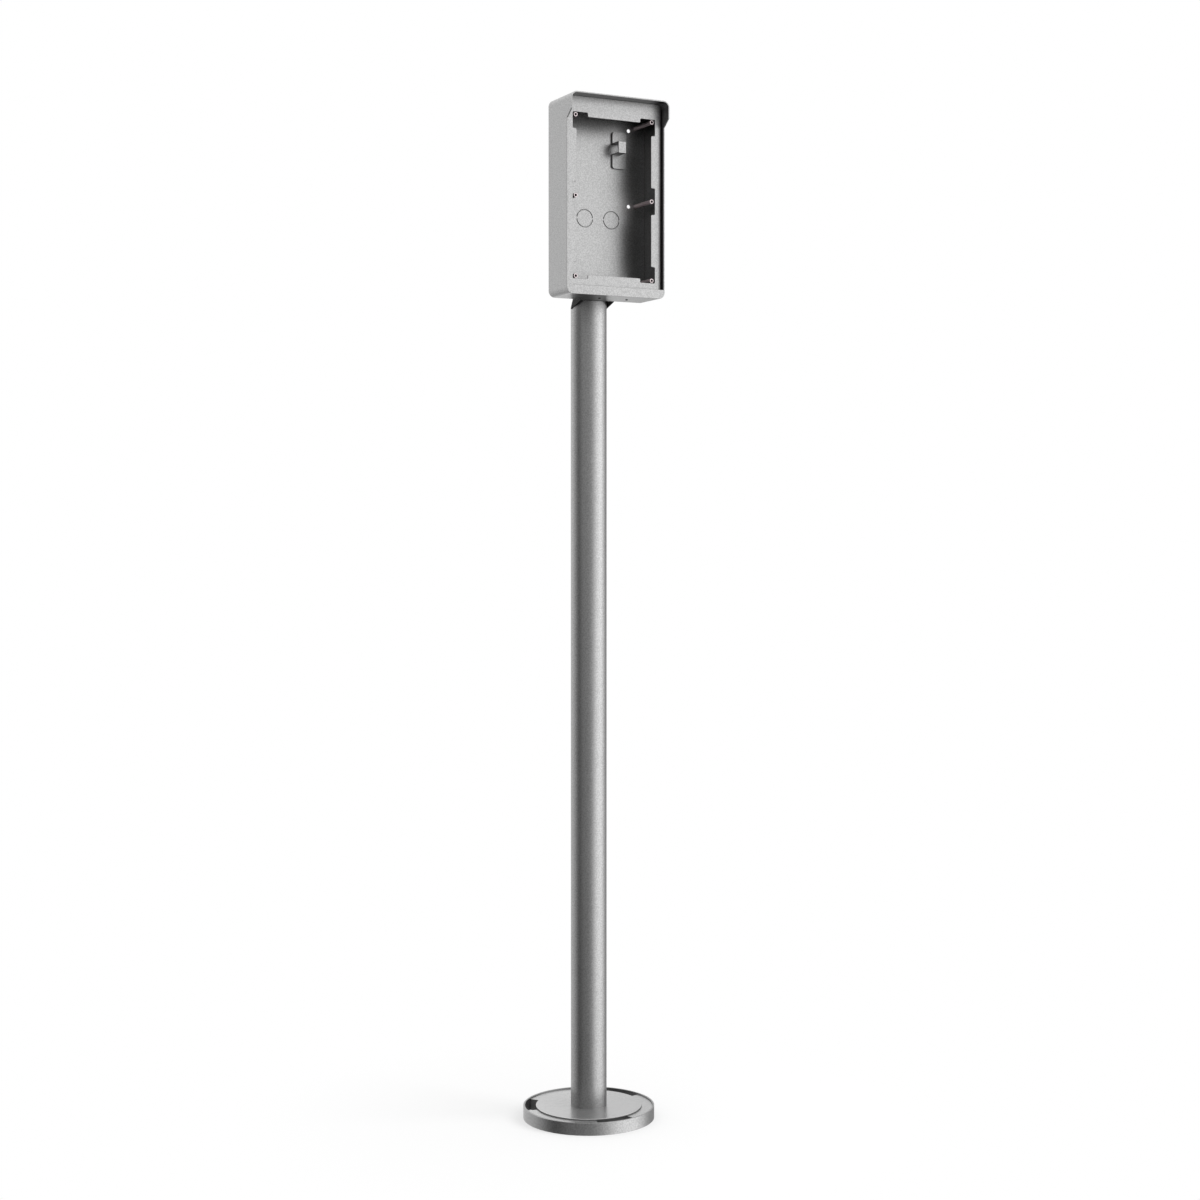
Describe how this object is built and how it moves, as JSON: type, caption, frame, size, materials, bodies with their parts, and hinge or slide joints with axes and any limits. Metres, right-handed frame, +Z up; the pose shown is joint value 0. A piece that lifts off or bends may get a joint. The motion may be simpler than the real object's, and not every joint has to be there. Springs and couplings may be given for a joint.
{
  "type": "gate intercom post",
  "caption": "Intercom post: a round steel tube on a turned foot carries an open folded-sheet head with a hood, a notched front frame and threaded standoffs.",
  "frame": {"origin": "on the post axis at floor level, in the middle of the cable bore's lower edge", "axes": "+Z up the post, -Y towards the open front of the head, +X to the right of someone who stands behind the front"},
  "size_m": [0.22, 0.2254, 1.688],
  "materials": {
    "satin_steel": "fine satin, blasted stainless steel",
    "plated_steel": "plated, turned",
    "dark_paint": "satin dark paint",
    "grommet_rubber": "matte moulded rubber"
  },
  "bodies": {
    "root": {"cover_ring": "satin_steel", "base_plate": "satin_steel", "foot_disc": "satin_steel", "post_tube": "satin_steel", "head_shell": "satin_steel", "back_plate": "satin_steel", "front_frame": "satin_steel", "cable_bridge": "satin_steel", "foot_screws": "plated_steel", "neck_nuts": "plated_steel", "head_bolts": "plated_steel", "frame_screws": "plated_steel", "standoff_lower_left": "plated_steel", "standoff_lower_right": "plated_steel", "standoff_middle_left": "plated_steel", "standoff_middle_right": "plated_steel", "standoff_upper_left": "plated_steel", "standoff_upper_right": "plated_steel", "neck_cover": "dark_paint", "saddle_bracket": "dark_paint", "cable_grommet": "grommet_rubber"}
  },
  "joints": []
}
